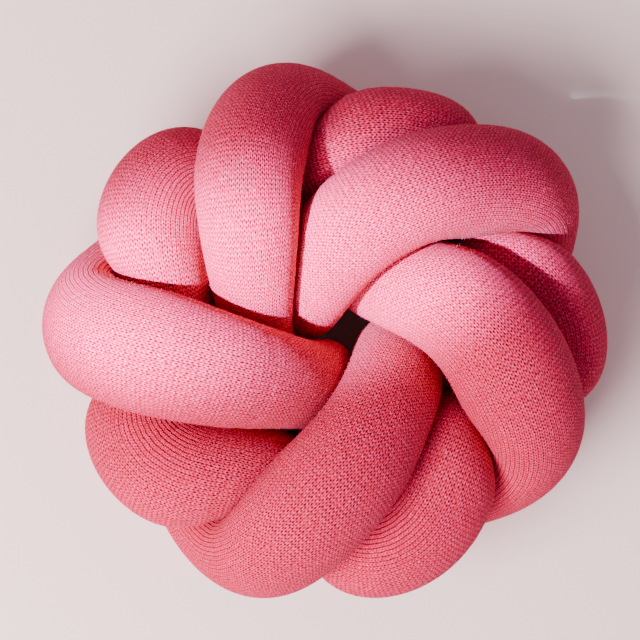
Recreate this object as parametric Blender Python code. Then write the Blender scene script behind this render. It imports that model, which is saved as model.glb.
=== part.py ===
# Knot cushion: one stuffed tube of knit, closed on itself and laid in a flat knot of ten folds.
# Five arms cross the top from the middle to the rim and dive under their neighbour. Each then runs
# along the floor, comes up as a lower lobe between two arms, and goes back in to the middle.

import math
from collections import namedtuple

import bmesh
import bpy
import numpy as np

# Places in the tables are (bearing in degrees, distance in metres) about the knot's middle.
# The bearing is anticlockwise from +X. Girths are the tube's radius there.
TopArm = namedtuple("TopArm", "foot heel crest shoulder rim dive")
Girths = namedtuple("Girths", "heel crest rim")
LowLobe = namedtuple("LowLobe", "rise rim dive girth")

# The rows are in the order in which the tube runs through them: arm, lobe, arm, lobe and so on.
TOP_ARMS = (
    TopArm((254, 0.039), (231, 0.045), (197, 0.085), (187, 0.124), (180, 0.142), (165, 0.120)),
    TopArm((72, 0.048), (48, 0.041), (5, 0.069), (-17, 0.099), (-31, 0.124), (-46, 0.120)),
    TopArm((190, 0.045), (163, 0.054), (138, 0.079), (124, 0.109), (107, 0.131), (93, 0.116)),
    TopArm((341, 0.047), (306, 0.045), (267, 0.084), (254, 0.119), (247, 0.138), (230, 0.122)),
    TopArm((175, 0.042), (130, 0.037), (84, 0.060), (59, 0.093), (37, 0.131), (23, 0.120)),
)
ARM_GIRTHS = (
    Girths(0.028, 0.036, 0.040),
    Girths(0.035, 0.036, 0.039),
    Girths(0.029, 0.031, 0.034),
    Girths(0.034, 0.036, 0.036),
    Girths(0.033, 0.034, 0.038),
)
LOW_LOBES = (
    LowLobe((97, 0.100), (72, 0.110), (54, 0.116), 0.040),
    LowLobe((238, 0.107), (215, 0.133), (200, 0.124), 0.041),
    LowLobe((21, 0.100), (-2, 0.122), (-16, 0.121), 0.040),
    LowLobe((166, 0.109), (148, 0.129), (134, 0.121), 0.040),
    LowLobe((310, 0.097), (287, 0.126), (271, 0.125), 0.039),
)

# Heights of the tube's middle line, the same for every arm and every lobe.
FOOT_Z = 0.058
HEEL_Z = 0.097
CREST_Z = 0.129
SHOULDER_Z = 0.124
ARM_RIM_Z = 0.080
ARM_DIVE_Z = 0.036
FLOOR_Z = 0.030
RISE_Z = 0.086
LOBE_RIM_Z = 0.082
LOBE_DIVE_Z = 0.074
RETURN_Z = 0.068

# The runs that don't show: along the floor between two folds, and back to the middle.
FLOOR_RUN_SHARE = 0.46
FLOOR_RUN_RADIUS = 0.092
RETURN_TURN = 12
RETURN_RADIUS = 0.075
HIDDEN_GIRTH = 0.037
FOOT_GIRTH = 0.035

# The knot's middle, placed so that the box round the cushion is centred on the origin.
KNOT_MIDDLE = (0.0099, 0.0021)

# Where two runs press on each other they share the room between them, less this gap.
CONTACT_GAP = 0.0042
CONTACT_SHARPNESS = 10
BEND_SHARE = 0.94
NEXT_RUN = 0.076

LINE_POINTS = 1280
LINE_SMOOTHING = 80
RING_SIDES = 20
LONGEST_STEP = 0.022
MOST_TURN = math.radians(17.5)

KNIT_PINK = (0.72, 0.16, 0.22, 1.0)


def place(polar, z):
    """A point from its bearing and distance about the knot's middle."""
    bearing, distance = polar
    angle = math.radians(bearing)
    x = KNOT_MIDDLE[0] + distance * math.cos(angle)
    y = KNOT_MIDDLE[1] + distance * math.sin(angle)
    return (x, y, z)


def fold_stations():
    """The places that the tube's middle line goes through, and the girth at each."""
    stations = []
    for arm, girths, lobe in zip(TOP_ARMS, ARM_GIRTHS, LOW_LOBES):
        run = (arm.rim[0] - lobe.rim[0]) % 360
        floor_run = (arm.rim[0] - run * FLOOR_RUN_SHARE, FLOOR_RUN_RADIUS)
        way_back = (lobe.rim[0] - RETURN_TURN, RETURN_RADIUS)
        shoulder_girth = (girths.crest + girths.rim) / 2
        stations += [
            (place(arm.foot, FOOT_Z), FOOT_GIRTH),
            (place(arm.heel, HEEL_Z), girths.heel),
            (place(arm.crest, CREST_Z), girths.crest),
            (place(arm.shoulder, SHOULDER_Z), shoulder_girth),
            (place(arm.rim, ARM_RIM_Z), girths.rim),
            (place(arm.dive, ARM_DIVE_Z), HIDDEN_GIRTH),
            (place(floor_run, FLOOR_Z), HIDDEN_GIRTH),
            (place(lobe.rise, RISE_Z), lobe.girth),
            (place(lobe.rim, LOBE_RIM_Z), lobe.girth),
            (place(lobe.dive, LOBE_DIVE_Z), lobe.girth),
            (place(way_back, RETURN_Z), HIDDEN_GIRTH),
        ]
    places = np.array([station[0] for station in stations])
    radii = np.array([station[1] for station in stations])
    return places, radii


def curve_through(places, girths, steps=24):
    """A closed curve through every place, with the girth eased from one place to the next."""
    points = []
    radii = []
    count = len(places)
    for i in range(count):
        a, b, c, d = (places[(i + k) % count] for k in (-1, 0, 1, 2))
        ta = 0.0
        tb = ta + math.sqrt(np.linalg.norm(b - a))
        tc = tb + math.sqrt(np.linalg.norm(c - b))
        td = tc + math.sqrt(np.linalg.norm(d - c))
        for step in range(steps):
            share = step / steps
            t = tb + (tc - tb) * share
            ab = a + (b - a) * (t - ta) / (tb - ta)
            bc = b + (c - b) * (t - tb) / (tc - tb)
            cd = c + (d - c) * (t - tc) / (td - tc)
            abc = ab + (bc - ab) * (t - ta) / (tc - ta)
            bcd = bc + (cd - bc) * (t - tb) / (td - tb)
            points.append(abc + (bcd - abc) * share)
            eased = share * share * (3 - 2 * share)
            radii.append(girths[i] + (girths[(i + 1) % count] - girths[i]) * eased)
    return np.array(points), np.array(radii)


def along(points):
    """The distance run at each point of a closed line, and the length of the whole."""
    steps = np.linalg.norm(np.roll(points, -1, axis=0) - points, axis=1)
    return np.concatenate([[0.0], np.cumsum(steps)[:-1]]), steps.sum()


def at_distances(points, radii, wanted):
    """The closed line's points and radii at the wanted distances."""
    run, length = along(points)
    run = np.append(run, length)
    closed = np.vstack([points, points[:1]])
    line = np.stack([np.interp(wanted, run, closed[:, k]) for k in range(3)], axis=1)
    return line, np.interp(wanted, run, np.append(radii, radii[0]))


def middle_line():
    """The tube's middle line as evenly spaced points, with its bends softened."""
    points, radii = curve_through(*fold_stations())
    length = along(points)[1]
    even = np.arange(LINE_POINTS) * length / LINE_POINTS
    line, girth = at_distances(points, radii, even)
    for _ in range(LINE_SMOOTHING):
        line = (np.roll(line, 1, axis=0) + 2 * line + np.roll(line, -1, axis=0)) / 4
    return line, girth


def directions(line):
    ahead = np.roll(line, -1, axis=0) - np.roll(line, 1, axis=0)
    return ahead / np.linalg.norm(ahead, axis=1)[:, None]


def untwisted_sides(ahead):
    """A side direction at each point that turns as little as it can and meets itself at the end."""
    side = np.cross(np.cross(ahead[0], (0.0, 0.0, 1.0)), ahead[0])
    sides = []
    for forward in ahead:
        side = side - forward * side.dot(forward)
        side = side / np.linalg.norm(side)
        sides.append(side)
    sides = np.array(sides)
    last = side - ahead[0] * side.dot(ahead[0])
    spare = math.atan2(last.dot(np.cross(ahead[0], sides[0])), last.dot(sides[0]))
    angle = -spare * np.arange(len(ahead)) / len(ahead)
    across = np.cross(ahead, sides)
    return sides * np.cos(angle)[:, None] + across * np.sin(angle)[:, None]


def ring_places(line, ahead):
    """Which points of the line carry a ring: close together in the bends, further apart between."""
    turn = np.arccos(np.clip((ahead * np.roll(ahead, -1, axis=0)).sum(axis=1), -1, 1))
    step = np.linalg.norm(np.roll(line, -1, axis=0) - line, axis=1)
    need = np.cumsum(step / LONGEST_STEP + turn / MOST_TURN)
    rings = int(need[-1])
    return np.searchsorted(need, (np.arange(rings) + 0.5) * need[-1] / rings)


def free_reach(line, picked, outward):
    """How far each ring point can go out before it is as near to another part of the line."""
    count = len(line)
    length = along(line)[1]
    offset = line[None, :, :] - line[picked][:, None, :]
    distance = np.linalg.norm(offset, axis=2)
    apart = np.abs(np.arange(count)[None, :] - picked[:, None])
    apart = np.minimum(apart, count - apart) * length / count
    pressed = distance * (distance - CONTACT_GAP) / 2
    bent = distance * distance * BEND_SHARE / 2
    room = np.where(apart > NEXT_RUN, pressed, bent)
    room[apart == 0] = np.inf
    reach = np.empty(outward.shape[:2])
    for k in range(outward.shape[1]):
        toward = np.einsum("rpc,rc->rp", offset, outward[:, k])
        limits = np.where(toward > 1e-9, room / np.maximum(toward, 1e-9), np.inf)
        reach[:, k] = limits.min(axis=1)
    return reach


def tube_rings():
    """The rings of the pressed tube, from floor to top."""
    line, girth = middle_line()
    ahead = directions(line)
    side = untwisted_sides(ahead)
    across = np.cross(ahead, side)
    picked = ring_places(line, ahead)
    angles = np.arange(RING_SIDES) * 2 * math.pi / RING_SIDES
    outward = (
        side[picked][:, None, :] * np.cos(angles)[None, :, None]
        + across[picked][:, None, :] * np.sin(angles)[None, :, None]
    )
    reach = free_reach(line, picked, outward)
    radius = girth[picked][:, None]
    pressed = radius * (1 + (radius / reach) ** CONTACT_SHARPNESS) ** (-1 / CONTACT_SHARPNESS)
    rings = line[picked][:, None, :] + outward * pressed[:, :, None]
    rings[:, :, 2] = np.maximum(rings[:, :, 2], 0.0)
    return rings


def knit_material():
    material = bpy.data.materials.new("pink_knit")
    material.use_nodes = True
    shader = material.node_tree.nodes["Principled BSDF"]
    shader.inputs["Base Color"].default_value = KNIT_PINK
    shader.inputs["Roughness"].default_value = 0.92
    shader.inputs["Metallic"].default_value = 0.0
    material.diffuse_color = KNIT_PINK
    return material


def build_cushion():
    rings = tube_rings()
    work = bmesh.new()
    loops = [[work.verts.new(point) for point in ring] for ring in rings]
    for i, loop in enumerate(loops):
        following = loops[(i + 1) % len(loops)]
        for k in range(RING_SIDES):
            right = (k + 1) % RING_SIDES
            work.faces.new((loop[k], loop[right], following[right], following[k]))
    bmesh.ops.recalc_face_normals(work, faces=work.faces)
    for face in work.faces:
        face.smooth = True
    mesh = bpy.data.meshes.new("knitted_tube")
    work.to_mesh(mesh)
    work.free()
    mesh.materials.append(knit_material())
    cushion = bpy.data.objects.new("knitted_tube", mesh)
    bpy.context.scene.collection.objects.link(cushion)


for old in list(bpy.data.objects):
    bpy.data.objects.remove(old)
build_cushion()
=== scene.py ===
import math
from collections import namedtuple

import bmesh
import bpy
import mathutils
import numpy as np
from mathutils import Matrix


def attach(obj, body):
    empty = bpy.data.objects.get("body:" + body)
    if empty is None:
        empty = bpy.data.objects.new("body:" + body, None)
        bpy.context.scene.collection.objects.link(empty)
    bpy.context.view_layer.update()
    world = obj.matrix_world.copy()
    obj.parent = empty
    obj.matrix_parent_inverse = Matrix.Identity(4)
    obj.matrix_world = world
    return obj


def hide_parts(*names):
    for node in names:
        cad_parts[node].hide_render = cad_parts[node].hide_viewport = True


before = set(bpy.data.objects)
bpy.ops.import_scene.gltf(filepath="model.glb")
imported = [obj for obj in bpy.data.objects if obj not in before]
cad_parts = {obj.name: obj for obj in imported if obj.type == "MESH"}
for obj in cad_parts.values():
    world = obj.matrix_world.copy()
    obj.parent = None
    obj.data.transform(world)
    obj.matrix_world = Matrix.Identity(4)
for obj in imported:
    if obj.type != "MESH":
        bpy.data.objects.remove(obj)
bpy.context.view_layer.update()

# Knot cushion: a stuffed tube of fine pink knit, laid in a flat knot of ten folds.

# Places are (bearing in degrees, distance in metres) about the knot's middle. The bearing is
# anticlockwise from +X, and a girth is the tube's radius there.
TopArm = namedtuple("TopArm", "foot heel crest shoulder rim dive")
Girths = namedtuple("Girths", "heel crest rim")
LowLobe = namedtuple("LowLobe", "rise rim dive girth")

# In the order in which the tube runs: arm, lobe, arm, lobe and so on.
topArms = (
    TopArm((254, 0.039), (231, 0.045), (197, 0.085), (187, 0.124), (180, 0.142), (165, 0.120)),
    TopArm((72, 0.048), (48, 0.041), (5, 0.069), (-17, 0.099), (-31, 0.124), (-46, 0.120)),
    TopArm((190, 0.045), (163, 0.054), (138, 0.079), (124, 0.109), (107, 0.131), (93, 0.116)),
    TopArm((341, 0.047), (306, 0.045), (267, 0.084), (254, 0.119), (247, 0.138), (230, 0.122)),
    TopArm((175, 0.042), (130, 0.037), (84, 0.060), (59, 0.093), (37, 0.131), (23, 0.120)),
)
armGirths = (
    Girths(0.028, 0.036, 0.040),
    Girths(0.035, 0.036, 0.039),
    Girths(0.029, 0.031, 0.034),
    Girths(0.034, 0.036, 0.036),
    Girths(0.033, 0.034, 0.038),
)
lowLobes = (
    LowLobe((97, 0.100), (72, 0.110), (54, 0.116), 0.040),
    LowLobe((238, 0.107), (215, 0.133), (200, 0.124), 0.041),
    LowLobe((21, 0.100), (-2, 0.122), (-16, 0.121), 0.040),
    LowLobe((166, 0.109), (148, 0.129), (134, 0.121), 0.040),
    LowLobe((310, 0.097), (287, 0.126), (271, 0.125), 0.039),
)

knittedTube = {
    "middle": (0.0099, 0.0021),     # the knot's middle, off the centre of its box
    "footZ": 0.058,                 # heights of the tube's middle line at each place
    "heelZ": 0.097,
    "crestZ": 0.129,
    "shoulderZ": 0.124,
    "armRimZ": 0.080,
    "armDiveZ": 0.036,
    "floorZ": 0.030,
    "riseZ": 0.086,
    "lobeRimZ": 0.082,
    "lobeDiveZ": 0.074,
    "returnZ": 0.068,
    "floorRunShare": 0.46,          # the run along the floor from an arm to the next lobe
    "floorRunRadius": 0.092,
    "returnTurn": 12,               # the way back from a lobe to the middle, in degrees
    "returnRadius": 0.075,
    "hiddenGirth": 0.037,           # the tube's radius where it doesn't show
    "footGirth": 0.035,
    "stationSteps": 24,             # points of the curve from one place to the next
    "linePoints": 1280,
    "lineSmoothing": 80,
    "contactGap": 0.0010,           # left between two runs that press on each other
    "contactSharpness": 8,
    "bendShare": 0.94,              # how far the inside of a bend may close up
    "nextRun": 0.076,               # further along than this is another run of the tube
    "nextRunFrom": 0.7,             # the press sets in gently, over these shares of it
    "nextRunOver": 0.6,
    "settleRounds": 40,             # rounds of smoothing that spread the presses
    "ringSides": 96,
    "longestStep": 0.0064,          # between two rings on a straight run
    "mostTurn": math.radians(4.25),
    "wales": 85,                    # columns of stitches round the tube
    "coursePitch": 0.0029,          # rows of stitches along the outside of its bends
    "outerShare": 85,               # percentile of a ring's steps that counts as outside
    "fill": 0.85,
}


def placeOf(polar, z):
    bearing, distance = polar
    angle = math.radians(bearing)
    x = knittedTube["middle"][0] + distance * math.cos(angle)
    y = knittedTube["middle"][1] + distance * math.sin(angle)
    return (x, y, z)


def foldStations(tube):
    # the places that the tube's middle line goes through, and the girth at each
    stations = []
    for arm, girths, lobe in zip(topArms, armGirths, lowLobes):
        run = (arm.rim[0] - lobe.rim[0]) % 360      # degrees from the lobe's rim to the arm's
        floorRun = (arm.rim[0] - run * tube["floorRunShare"], tube["floorRunRadius"])
        wayBack = (lobe.rim[0] - tube["returnTurn"], tube["returnRadius"])
        shoulderGirth = (girths.crest + girths.rim) / 2
        stations += [
            (placeOf(arm.foot, tube["footZ"]), tube["footGirth"]),
            (placeOf(arm.heel, tube["heelZ"]), girths.heel),
            (placeOf(arm.crest, tube["crestZ"]), girths.crest),
            (placeOf(arm.shoulder, tube["shoulderZ"]), shoulderGirth),
            (placeOf(arm.rim, tube["armRimZ"]), girths.rim),
            (placeOf(arm.dive, tube["armDiveZ"]), tube["hiddenGirth"]),
            (placeOf(floorRun, tube["floorZ"]), tube["hiddenGirth"]),
            (placeOf(lobe.rise, tube["riseZ"]), lobe.girth),
            (placeOf(lobe.rim, tube["lobeRimZ"]), lobe.girth),
            (placeOf(lobe.dive, tube["lobeDiveZ"]), lobe.girth),
            (placeOf(wayBack, tube["returnZ"]), tube["hiddenGirth"]),
        ]
    places = np.array([station[0] for station in stations])
    radii = np.array([station[1] for station in stations])
    return places, radii


def curveThrough(places, girths, steps):
    # a closed curve through every place, its girth eased from one to the next
    points = []
    radii = []
    count = len(places)
    for i in range(count):
        a, b, c, d = (places[(i + k) % count] for k in (-1, 0, 1, 2))
        ta = 0.0
        tb = ta + math.sqrt(np.linalg.norm(b - a))
        tc = tb + math.sqrt(np.linalg.norm(c - b))
        td = tc + math.sqrt(np.linalg.norm(d - c))
        for step in range(steps):
            share = step / steps
            t = tb + (tc - tb) * share
            ab = a + (b - a) * (t - ta) / (tb - ta)
            bc = b + (c - b) * (t - tb) / (tc - tb)
            cd = c + (d - c) * (t - tc) / (td - tc)
            abc = ab + (bc - ab) * (t - ta) / (tc - ta)
            bcd = bc + (cd - bc) * (t - tb) / (td - tb)
            points.append(abc + (bcd - abc) * share)
            eased = share * share * (3 - 2 * share)
            radii.append(girths[i] + (girths[(i + 1) % count] - girths[i]) * eased)
    return np.array(points), np.array(radii)


def runAlong(points):
    # the distance run at each point of a closed line, and its whole length
    steps = np.linalg.norm(np.roll(points, -1, axis=0) - points, axis=1)
    return np.concatenate([[0.0], np.cumsum(steps)[:-1]]), steps.sum()


def middleLine(tube):
    # evenly spaced points with the bends softened
    places, girths = foldStations(tube)
    points, radii = curveThrough(places, girths, tube["stationSteps"])
    run, length = runAlong(points)
    run = np.append(run, length)
    even = np.arange(tube["linePoints"]) * length / tube["linePoints"]
    closed = np.vstack([points, points[:1]])
    line = np.stack([np.interp(even, run, closed[:, k]) for k in range(3)], axis=1)
    girth = np.interp(even, run, np.append(radii, radii[0]))
    for _ in range(tube["lineSmoothing"]):
        line = (np.roll(line, 1, axis=0) + 2 * line + np.roll(line, -1, axis=0)) / 4
    return line, girth


def untwistedSides(ahead):
    # a side direction that turns as little as it can and meets itself at the end
    side = np.cross(np.cross(ahead[0], (0.0, 0.0, 1.0)), ahead[0])
    sides = []
    for forward in ahead:
        side = side - forward * side.dot(forward)
        side = side / np.linalg.norm(side)
        sides.append(side)
    sides = np.array(sides)
    last = side - ahead[0] * side.dot(ahead[0])
    spare = math.atan2(last.dot(np.cross(ahead[0], sides[0])), last.dot(sides[0]))
    angle = -spare * np.arange(len(ahead)) / len(ahead)
    across = np.cross(ahead, sides)
    return sides * np.cos(angle)[:, None] + across * np.sin(angle)[:, None]


def ringPlaces(line, ahead, tube):
    # rings stand close together in the bends and further apart between them
    turn = np.arccos(np.clip((ahead * np.roll(ahead, -1, axis=0)).sum(axis=1), -1, 1))
    step = np.linalg.norm(np.roll(line, -1, axis=0) - line, axis=1)
    need = np.cumsum(step / tube["longestStep"] + turn / tube["mostTurn"])
    rings = int(need[-1])
    return np.unique(np.searchsorted(need, (np.arange(rings) + 0.5) * need[-1] / rings))


def freeReach(line, picked, outward, tube):
    # how far out each ring point can go before it is as near to another part of the line
    count = len(line)
    length = runAlong(line)[1]
    offset = line[None, :, :] - line[picked][:, None, :]
    distance = np.linalg.norm(offset, axis=2)
    apart = np.abs(np.arange(count)[None, :] - picked[:, None])
    apart = np.minimum(apart, count - apart) * length / count
    pressed = distance * (distance - tube["contactGap"]) / 2
    bent = distance * distance * tube["bendShare"] / 2
    eased = np.clip((apart / tube["nextRun"] - tube["nextRunFrom"]) / tube["nextRunOver"], 0.0, 1.0)
    eased = eased * eased * (3 - 2 * eased)
    room = bent + (pressed - bent) * eased
    room[apart == 0] = np.inf
    reach = np.empty(outward.shape[:2])
    least = 1e-9                    # below this the other part lies behind the point
    for k in range(outward.shape[1]):
        toward = np.einsum("rpc,rc->rp", offset, outward[:, k])
        limits = np.where(toward > least, room / np.maximum(toward, least), np.inf)
        reach[:, k] = limits.min(axis=1)
    return reach


def tubeRings(tube):
    # a ring of points round each picked place of the middle line, pressed flat at the contacts
    line, girth = middleLine(tube)
    ahead = np.roll(line, -1, axis=0) - np.roll(line, 1, axis=0)
    ahead = ahead / np.linalg.norm(ahead, axis=1)[:, None]
    side = untwistedSides(ahead)
    across = np.cross(ahead, side)
    picked = ringPlaces(line, ahead, tube)
    angles = np.arange(tube["ringSides"]) * 2 * math.pi / tube["ringSides"]
    outward = (
        side[picked][:, None, :] * np.cos(angles)[None, :, None]
        + across[picked][:, None, :] * np.sin(angles)[None, :, None]
    )
    reach = freeReach(line, picked, outward, tube)
    radius = girth[picked][:, None]
    sharp = tube["contactSharpness"]
    pressed = radius * (1 + (radius / reach) ** sharp) ** (-1 / sharp)
    # the stretched cloth rounds off the edges between one press and the next
    for _ in range(tube["settleRounds"]):
        around = np.roll(pressed, 1, axis=1) + np.roll(pressed, -1, axis=1)
        onward = np.roll(pressed, 1, axis=0) + np.roll(pressed, -1, axis=0)
        pressed = pressed / 2 + (around + onward) / 8
    rings = line[picked][:, None, :] + outward * pressed[:, :, None]
    rings[:, :, 2] = np.maximum(rings[:, :, 2], 0.0)
    return rings


def buildTube(tube):
    rings = tubeRings(tube)
    sides = tube["ringSides"]
    work = bmesh.new()
    stitches = work.loops.layers.uv.new("stitches")     # u counts rows, v counts columns
    loops = [[work.verts.new(point) for point in ring] for ring in rings]
    # the rows are spaced by the cloth on the outside of each bend, so they crowd on the inside
    steps = np.linalg.norm(np.roll(rings, -1, axis=0) - rings, axis=2)
    outer = np.percentile(steps, tube["outerShare"], axis=1)
    rowAt = np.append(0.0, np.cumsum(outer))
    rowAt = rowAt / rowAt[-1] * round(rowAt[-1] / tube["coursePitch"])
    for i, loop in enumerate(loops):
        following = loops[(i + 1) % len(loops)]
        for k in range(sides):
            right = (k + 1) % sides
            face = work.faces.new((loop[k], loop[right], following[right], following[k]))
            face.smooth = True
            left = k / sides * tube["wales"]
            over = (k + 1) / sides * tube["wales"]
            low, high = rowAt[i], rowAt[i + 1]
            corners = ((low, left), (low, over), (high, over), (high, left))
            for corner, uv in zip(face.loops, corners):
                corner[stitches].uv = uv
    if work.calc_volume(signed=True) < 0:
        bmesh.ops.reverse_faces(work, faces=work.faces)
    mesh = bpy.data.meshes.new("knot_cushion")
    work.to_mesh(mesh)
    work.free()
    # how much spare cloth is gathered at each point, for the knit's holes and grooves
    spare = 1 - steps / outer[:, None]
    spare = np.clip((spare + np.roll(spare, 1, axis=0)) / 2, 0.0, 1.0)
    mesh.attributes.new("gather", "FLOAT", "POINT").data.foreach_set("value", spare.ravel())
    piece = bpy.data.objects.new("knot_cushion", mesh)
    bpy.context.scene.collection.objects.link(piece)
    return piece


def socketIn(group, kind, name, value=None):
    socket = group.interface.new_socket(name, in_out="INPUT", socket_type=kind)
    if value is not None:
        socket.default_value = value


def calc(tree, operation, *inputs):
    node = tree.nodes.new("ShaderNodeMath")
    node.operation = operation
    for slot, value in zip(node.inputs, inputs):
        if isinstance(value, (int, float)):
            slot.default_value = value
        else:
            tree.links.new(value, slot)
    return node.outputs[0]


def chanceAt(tree, first, second):
    # one even random number for each whole pair
    pair = tree.nodes.new("ShaderNodeCombineXYZ")
    tree.links.new(first, pair.inputs[0])
    tree.links.new(second, pair.inputs[1])
    chance = tree.nodes.new("ShaderNodeTexWhiteNoise")
    chance.noise_dimensions = "2D"
    tree.links.new(pair.outputs[0], chance.inputs["Vector"])
    return chance.outputs["Value"]


stitchShape = {
    "wanderScale": 0.37,            # how quickly the rows and columns stray
    "wanderDetail": 3.0,
    "unevenness": 0.5,              # and how far, in stitches
    "betweenPower": 4.0,            # higher is a narrower groove between two columns
    "betweenGathered": -2.0,        # added to it where the cloth is gathered
    "insidePower": 4.0,             # the same inside each V
    "endPower": 1.1,                # and where one loop ends and the next begins
    "holeLeast": 0.3,               # each hole has its own size
    "holeSpread": 1.1,
    "holeGathered": -1.5,           # gathered cloth closes the holes
    "holeClosed": 0.1,              # down to this
    "grooveDepth": 0.20,
    "grooveGathered": 0.6,          # added to it where the cloth is gathered
    "insideDepth": 0.12,
    "endDepth": 0.08,
    "holeDepth": 0.5,
}


def stitchGroup(shape):
    # plain knit: every stitch is a V of two yarn legs, with a small hole inside it and another between it
    # and its neighbour, so the holes stand in a staggered grid; where the cloth is gathered in a bend the
    # holes close and the grooves between the columns deepen. The holes and grooves are given out as masks
    # that the knit darkens with painted shade
    group = bpy.data.node_groups.new("stockingStitch", "ShaderNodeTree")
    socketIn(group, "NodeSocketVector", "Stitches")
    socketIn(group, "NodeSocketFloat", "Gather", 0.0)
    socketIn(group, "NodeSocketFloat", "Unevenness", shape["unevenness"])
    for name in ("Height", "Hole", "Groove", "Loop Tone"):
        group.interface.new_socket(name, in_out="OUTPUT", socket_type="NodeSocketFloat")
    nodes, links = group.nodes, group.links
    given = nodes.new("NodeGroupInput")
    wander = nodes.new("ShaderNodeTexNoise")
    wander.inputs["Scale"].default_value = shape["wanderScale"]
    wander.inputs["Detail"].default_value = shape["wanderDetail"]
    links.new(given.outputs["Stitches"], wander.inputs["Vector"])
    parts = nodes.new("ShaderNodeSeparateXYZ")
    links.new(given.outputs["Stitches"], parts.inputs[0])
    drift = nodes.new("ShaderNodeSeparateColor")
    links.new(wander.outputs["Color"], drift.inputs[0])
    swing = given.outputs["Unevenness"]
    gather = given.outputs["Gather"]
    row = calc(group, "MULTIPLY_ADD", drift.outputs[0], swing, parts.outputs[0])
    column = calc(group, "MULTIPLY_ADD", drift.outputs[1], swing, parts.outputs[1])
    twice = calc(group, "MULTIPLY", column, 2.0)
    fromMiddle = calc(group, "ABSOLUTE", calc(group, "SUBTRACT", calc(group, "FRACT", column), 0.5))
    slanted = calc(group, "ADD", row, fromMiddle)
    sideways = calc(group, "MULTIPLY", fromMiddle, 2.0)
    narrow = calc(group, "MULTIPLY_ADD", gather, shape["betweenGathered"], shape["betweenPower"])
    between = calc(group, "POWER", sideways, narrow)
    inside = calc(group, "POWER", calc(group, "SUBTRACT", 1.0, sideways), shape["insidePower"])
    loop = calc(group, "ABSOLUTE", calc(group, "SINE", calc(group, "MULTIPLY", slanted, math.pi)))
    end = calc(group, "POWER", calc(group, "SUBTRACT", 1.0, loop), shape["endPower"])
    holeChance = chanceAt(group, calc(group, "ROUND", slanted), calc(group, "ROUND", twice))
    legChance = chanceAt(group, calc(group, "FLOOR", slanted), calc(group, "FLOOR", twice))
    slack = calc(group, "MULTIPLY_ADD", gather, shape["holeGathered"], 1.0)
    slack = calc(group, "MAXIMUM", slack, shape["holeClosed"])
    openness = calc(group, "MULTIPLY_ADD", holeChance, shape["holeSpread"], shape["holeLeast"])
    openness = calc(group, "MULTIPLY", slack, openness)
    hole = calc(group, "MULTIPLY", calc(group, "ADD", between, inside), end)
    hole = calc(group, "MULTIPLY", hole, openness)
    deep = calc(group, "MULTIPLY_ADD", gather, shape["grooveGathered"], shape["grooveDepth"])
    groove = calc(group, "MULTIPLY", between, deep)
    sunk = calc(group, "MULTIPLY_ADD", inside, shape["insideDepth"], groove)
    sunk = calc(group, "MULTIPLY_ADD", end, shape["endDepth"], sunk)
    height = calc(group, "SUBTRACT", 1.0, sunk)
    height = calc(group, "SUBTRACT", height, calc(group, "MULTIPLY", hole, shape["holeDepth"]))
    out = nodes.new("NodeGroupOutput")
    links.new(height, out.inputs["Height"])
    links.new(hole, out.inputs["Hole"])
    links.new(groove, out.inputs["Groove"])
    links.new(legChance, out.inputs["Loop Tone"])
    return group


woolNoise = {
    "hairScale": 2600.0,
    "hairDetail": 2.0,
    "fleckScale": 1000.0,
    "fleckDetail": 1.0,
    "shadeScale": 16.0,
    "shadeDetail": 4.0,
}


def woolGroup(wool):
    # the yarn's own hairs, a fine noise that places the painted glints on the knit and the paler loose
    # hairs, and the slow change of shade over a dyed cloth
    group = bpy.data.node_groups.new("woolNoise", "ShaderNodeTree")
    names = ("Hair", "Fleck", "Shade")
    for name in names:
        socketIn(group, "NodeSocketFloat", name + " Scale", wool[name.lower() + "Scale"])
        group.interface.new_socket(name, in_out="OUTPUT", socket_type="NodeSocketFloat")
    nodes, links = group.nodes, group.links
    given = nodes.new("NodeGroupInput")
    where = nodes.new("ShaderNodeTexCoord")
    out = nodes.new("NodeGroupOutput")
    for name in names:
        noise = nodes.new("ShaderNodeTexNoise")
        noise.inputs["Detail"].default_value = wool[name.lower() + "Detail"]
        links.new(where.outputs["Object"], noise.inputs["Vector"])
        links.new(given.outputs[name + " Scale"], noise.inputs["Scale"])
        links.new(noise.outputs["Fac"], out.inputs[name])
    return group


pinkKnit = {
    # painted shade in the knit's holes and grooves, and the colour of the dye's slow darker patches
    "hole": (0.07, 0.001, 0.007, 1.0),
    "yarn": (0.45, 0.002, 0.024, 1.0),      # low on a leg of a stitch, darker with painted shade
    "crownHighlight": (1.00, 0.015, 0.138, 1.0),     # painted highlight on top of it
    "glintAndPaleHair": (1.00, 0.090, 0.265, 1.0),     # painted glints on the crowns, and the palest loose hairs
    "crownPower": 4.0,                      # higher is a narrower painted highlight on each crown
    "crownLeast": 0.35,                     # each leg has its own tone
    "crownSpread": 0.6,
    "paintedGlintGain": 6.0,                       # contrast and threshold of the painted glints
    "paintedGlintOffset": -3.1,
    "holeGain": 2.0,
    "patchGain": -0.5,                      # the slow darker patches
    "patchOffset": 0.35,
    "roughness": 0.9,
    "specular": 0.1,
    "sheen": 0.04,
    "sheenRoughness": 0.45,
    "sheenTint": (1.0, 0.55, 0.66, 1.0),
    "hairRelief": 0.25,                     # the yarn's hairs beside the stitches' own relief
    "stitchDepth": 0.0012,
    "bumpStrength": 0.9,
    "looseGain": 2.0,                       # how far the loose hairs differ in tone
    "looseOffset": -0.5,
}


def mixColour(tree, share, first, second):
    node = tree.nodes.new("ShaderNodeMix")
    node.data_type = "RGBA"
    tree.links.new(share, node.inputs["Factor"])
    for socket, value in ((node.inputs[6], first), (node.inputs[7], second)):
        if isinstance(value, tuple):
            socket.default_value = value
        else:
            tree.links.new(value, socket)
    return node.outputs[2]


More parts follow.
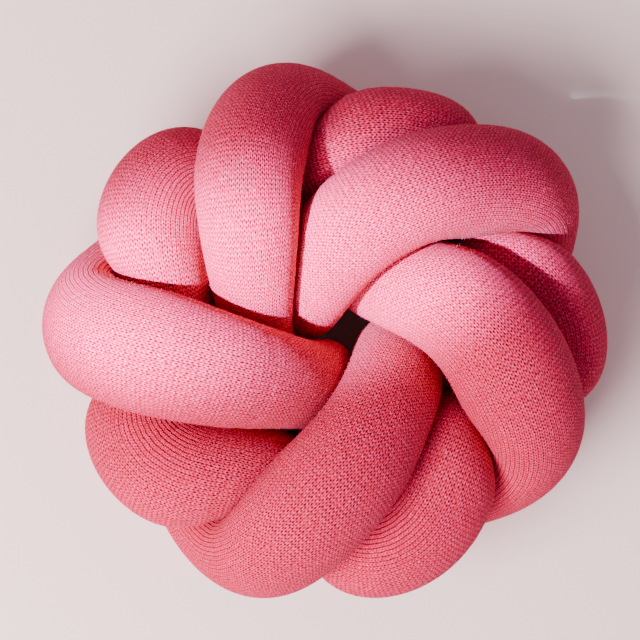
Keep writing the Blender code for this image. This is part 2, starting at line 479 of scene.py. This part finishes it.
def knitMaterial(knit):
    material = bpy.data.materials.new("pink_knit_wool")
    material.use_nodes = True
    tree = material.node_tree
    shader = tree.nodes["Principled BSDF"]
    shader.inputs["Roughness"].default_value = knit["roughness"]
    shader.inputs["Specular IOR Level"].default_value = knit["specular"]
    shader.inputs["Sheen Weight"].default_value = knit["sheen"]
    shader.inputs["Sheen Roughness"].default_value = knit["sheenRoughness"]
    shader.inputs["Sheen Tint"].default_value = knit["sheenTint"]
    stitchMap = tree.nodes.new("ShaderNodeUVMap")
    stitchMap.uv_map = "stitches"
    gathered = tree.nodes.new("ShaderNodeAttribute")
    gathered.attribute_name = "gather"
    stitch = tree.nodes.new("ShaderNodeGroup")
    stitch.node_tree = stitchGroup(stitchShape)
    tree.links.new(stitchMap.outputs[0], stitch.inputs["Stitches"])
    tree.links.new(gathered.outputs["Fac"], stitch.inputs["Gather"])
    wool = tree.nodes.new("ShaderNodeGroup")
    wool.node_tree = woolGroup(woolNoise)
    # painted highlight and shade of the stitch relief: from the yarn's colour low on each leg to a paler
    # crown on top of it, some legs lighter than others
    crownHighlight = calc(tree, "POWER", stitch.outputs["Height"], knit["crownPower"])
    tone = stitch.outputs["Loop Tone"]
    toned = calc(tree, "MULTIPLY_ADD", tone, knit["crownSpread"], knit["crownLeast"])
    toned = calc(tree, "MULTIPLY", crownHighlight, toned)
    lit = mixColour(tree, toned, knit["yarn"], knit["crownHighlight"])
    # painted glints on the crowns
    paintedGlint = calc(tree, "MULTIPLY_ADD", wool.outputs["Fleck"], knit["paintedGlintGain"], knit["paintedGlintOffset"])
    paintedGlint = calc(tree, "MULTIPLY", calc(tree, "MAXIMUM", paintedGlint, 0.0), crownHighlight)
    lit = mixColour(tree, calc(tree, "MINIMUM", paintedGlint, 1.0), lit, knit["glintAndPaleHair"])
    # painted shade in the holes and grooves, then slow darker patches of the dye
    dark = calc(tree, "MULTIPLY_ADD", stitch.outputs["Hole"], knit["holeGain"], stitch.outputs["Groove"])
    lit = mixColour(tree, calc(tree, "MINIMUM", dark, 1.0), lit, knit["hole"])
    patch = calc(tree, "MULTIPLY_ADD", wool.outputs["Shade"], knit["patchGain"], knit["patchOffset"])
    lit = mixColour(tree, calc(tree, "MAXIMUM", patch, 0.0), lit, knit["hole"])
    tree.links.new(lit, shader.inputs["Base Color"])
    relief = calc(tree, "MULTIPLY_ADD", wool.outputs["Hair"], knit["hairRelief"], stitch.outputs["Height"])
    bump = tree.nodes.new("ShaderNodeBump")
    bump.inputs["Distance"].default_value = knit["stitchDepth"]
    bump.inputs["Strength"].default_value = knit["bumpStrength"]
    tree.links.new(relief, bump.inputs["Height"])
    tree.links.new(bump.outputs[0], shader.inputs["Normal"])
    return material


cushion = buildTube(knittedTube)
cushion.data.materials.append(knitMaterial(pinkKnit))
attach(cushion, "root")
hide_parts("knitted_tube")
print("tube laid and knitted:", len(cushion.data.polygons), "faces")

woolFuzz = {
    "tries": 64000,
    "lowest": 0.012,                # none grow on the underside
    "freeRoom": 0.005,              # nor where two runs press together
    "shortest": 0.0010,
    "longest": 0.0020,
    "longFew": 2,                   # a higher power makes the long ones fewer
    "width": 0.00010,
    "rootDepth": 0.0003,            # how far each stands in the knit
    "lean": 1.1,
    "twist": 0.3,
    "seed": 11,
}


def growFuzz(cloth, fuzz):
    # loose wool hairs that stand off the knit, each a closed three-sided spike
    chance = np.random.default_rng(fuzz["seed"])
    mesh = cloth.data
    points = np.empty(len(mesh.vertices) * 3)
    mesh.vertices.foreach_get("co", points)
    points = points.reshape(-1, 3)
    corners = np.empty(len(mesh.polygons) * 4, dtype=int)
    mesh.polygons.foreach_get("vertices", corners)
    quads = points[corners.reshape(-1, 4)]
    areas = np.empty(len(mesh.polygons))
    mesh.polygons.foreach_get("area", areas)
    outs = np.empty(len(mesh.polygons) * 3)
    mesh.polygons.foreach_get("normal", outs)
    outs = outs.reshape(-1, 3)
    picked = chance.choice(len(areas), size=fuzz["tries"], p=areas / areas.sum())
    along, over = chance.random((2, fuzz["tries"], 1))
    quad = quads[picked]
    roots = (quad[:, 0] * (1 - along) + quad[:, 1] * along) * (1 - over)
    roots = roots + (quad[:, 3] * (1 - along) + quad[:, 2] * along) * over
    outs = outs[picked]
    free = []
    for i, (root, out) in enumerate(zip(roots, outs)):
        if root[2] > fuzz["lowest"]:
            start = mathutils.Vector(root + out * fuzz["rootDepth"])
            if not cloth.ray_cast(start, mathutils.Vector(out), distance=fuzz["freeRoom"])[0]:
                free.append(i)
    roots = roots[free]
    outs = outs[free]
    leans = chance.normal(size=roots.shape)
    leans = leans - outs * (leans * outs).sum(axis=1)[:, None]
    leans = leans / np.linalg.norm(leans, axis=1)[:, None]
    ways = outs + leans * fuzz["lean"] * chance.random((len(roots), 1))
    ways = ways / np.linalg.norm(ways, axis=1)[:, None]
    longer = chance.random((len(roots), 1)) ** fuzz["longFew"]
    lengths = fuzz["shortest"] + (fuzz["longest"] - fuzz["shortest"]) * longer
    sides = np.cross(ways, leans + outs * fuzz["twist"])
    sides = sides / np.linalg.norm(sides, axis=1)[:, None]
    backs = np.cross(ways, sides)
    bases = roots - outs * fuzz["rootDepth"]
    spikes = []
    for corner in range(3):         # round the spike's root
        angle = corner * 2 * math.pi / 3
        aside = sides * math.cos(angle) + backs * math.sin(angle)
        spikes.append(bases + aside * fuzz["width"] / 2)
    spikes.append(roots + ways * lengths)
    spikes = np.stack(spikes, axis=1).reshape(-1, 3)
    first = np.arange(len(roots))[:, None] * 4
    faces = np.concatenate([first + turn for turn in ((0, 2, 1), (0, 1, 3), (1, 2, 3), (2, 0, 3))])
    mesh = bpy.data.meshes.new("loose_hairs")
    mesh.from_pydata(spikes, [], faces)
    piece = bpy.data.objects.new("loose_hairs", mesh)
    bpy.context.scene.collection.objects.link(piece)
    return piece


def hairMaterial(knit):
    material = bpy.data.materials.new("loose_wool_hair")
    material.use_nodes = True
    tree = material.node_tree
    shader = tree.nodes["Principled BSDF"]
    shader.inputs["Roughness"].default_value = knit["roughness"]
    shader.inputs["Specular IOR Level"].default_value = knit["specular"]
    wool = tree.nodes.new("ShaderNodeGroup")
    wool.node_tree = bpy.data.node_groups["woolNoise"]
    # the loose hairs differ at random from the yarn's colour to the palest
    tone = calc(tree, "MULTIPLY_ADD", wool.outputs["Fleck"], knit["looseGain"], knit["looseOffset"])
    lit = mixColour(tree, calc(tree, "MAXIMUM", tone, 0.0), knit["yarn"], knit["glintAndPaleHair"])
    tree.links.new(lit, shader.inputs["Base Color"])
    return material


hairs = growFuzz(cushion, woolFuzz)
hairs.data.materials.append(hairMaterial(pinkKnit))
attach(hairs, "root")
print("loose hairs grown:", len(hairs.data.polygons), "faces")

studio = {
    "floorSize": 6.0,
    "floorColour": (0.94, 0.70, 0.74, 1.0),
    "floorRoughness": 0.85,
    "air": (1.0, 0.93, 0.95, 1.0),
    "airStrength": 0.45,
}
softbox = {
    "at": (-0.82, -0.62, 1.15),
    "aim": (0.0, 0.0, 0.05),
    "size": (0.9, 0.7),
    "roll": 0.0,
    "power": 72,
    "colour": (1.0, 0.94, 0.90),
}
windowLight = {
    "at": (-0.935, -0.208, 1.231),
    "aim": (-0.035, 0.033, 0.120),
    "cone": math.radians(11.2),
    "flatness": 0.46,               # the beam is an oval, narrower across than along
    "roll": math.radians(-10),      # and lies across the knot, rising to the right
    "softEdge": 0.4,
    "radius": 0.025,
    "power": 1300,
    "colour": (0.55, 0.97, 1.0),
}


def aimedLight(name, kind, lamp):
    bpy.ops.object.light_add(type=kind, location=lamp["at"])
    light = bpy.context.object
    light.name = name
    light.data.energy = lamp["power"]
    light.data.color = lamp["colour"]
    toward = mathutils.Vector(lamp["aim"]) - mathutils.Vector(lamp["at"])
    roll = mathutils.Quaternion((0.0, 0.0, 1.0), lamp["roll"])     # about the way it shines
    light.rotation_euler = (toward.to_track_quat("-Z", "Y") @ roll).to_euler()
    return light


bpy.ops.object.select_all(action="DESELECT")
bpy.ops.mesh.primitive_plane_add(size=studio["floorSize"], location=(0.0, 0.0, 0.0))
floor = bpy.context.object
floor.name = "studio_floor"
floorFinish = bpy.data.materials.new("pale_floor")
floorFinish.use_nodes = True
floorShader = floorFinish.node_tree.nodes["Principled BSDF"]
floorShader.inputs["Base Color"].default_value = studio["floorColour"]
floorShader.inputs["Roughness"].default_value = studio["floorRoughness"]
floor.data.materials.append(floorFinish)

box = aimedLight("softbox", "AREA", softbox)
box.data.shape = "RECTANGLE"
box.data.size, box.data.size_y = softbox["size"]
beam = aimedLight("window_light", "SPOT", windowLight)
beam.data.spot_size = windowLight["cone"]
beam.data.spot_blend = windowLight["softEdge"]
beam.data.shadow_soft_size = windowLight["radius"]
beam.scale = (windowLight["flatness"], 1.0, 1.0)
world = bpy.data.worlds.new("studio_air")
world.use_nodes = True
background = world.node_tree.nodes["Background"]
background.inputs["Color"].default_value = studio["air"]
background.inputs["Strength"].default_value = studio["airStrength"]
bpy.context.scene.world = world

view = {
    "aim": (-0.0044, 0.0055, 0.080),
    "leanLeft": math.radians(6),    # the camera stands a little left of and below the knot
    "leanDown": math.radians(2),
    "distance": 1.4,
    "lens": 131.25,
}
outX = -math.sin(view["leanLeft"])
outY = -math.sin(view["leanDown"])
toCamera = mathutils.Vector((outX, outY, math.sqrt(1 - outX * outX - outY * outY)))
right = mathutils.Vector((0.0, 1.0, 0.0)).cross(toCamera).normalized()
upward = toCamera.cross(right)
turned = mathutils.Matrix((right, upward, toCamera)).transposed().to_4x4()
bpy.ops.object.camera_add(location=mathutils.Vector(view["aim"]) + toCamera * view["distance"])
camera = bpy.context.object
camera.rotation_euler = turned.to_euler()
camera.data.lens = view["lens"]
bpy.context.scene.camera = camera
print("floor, lights and camera set")
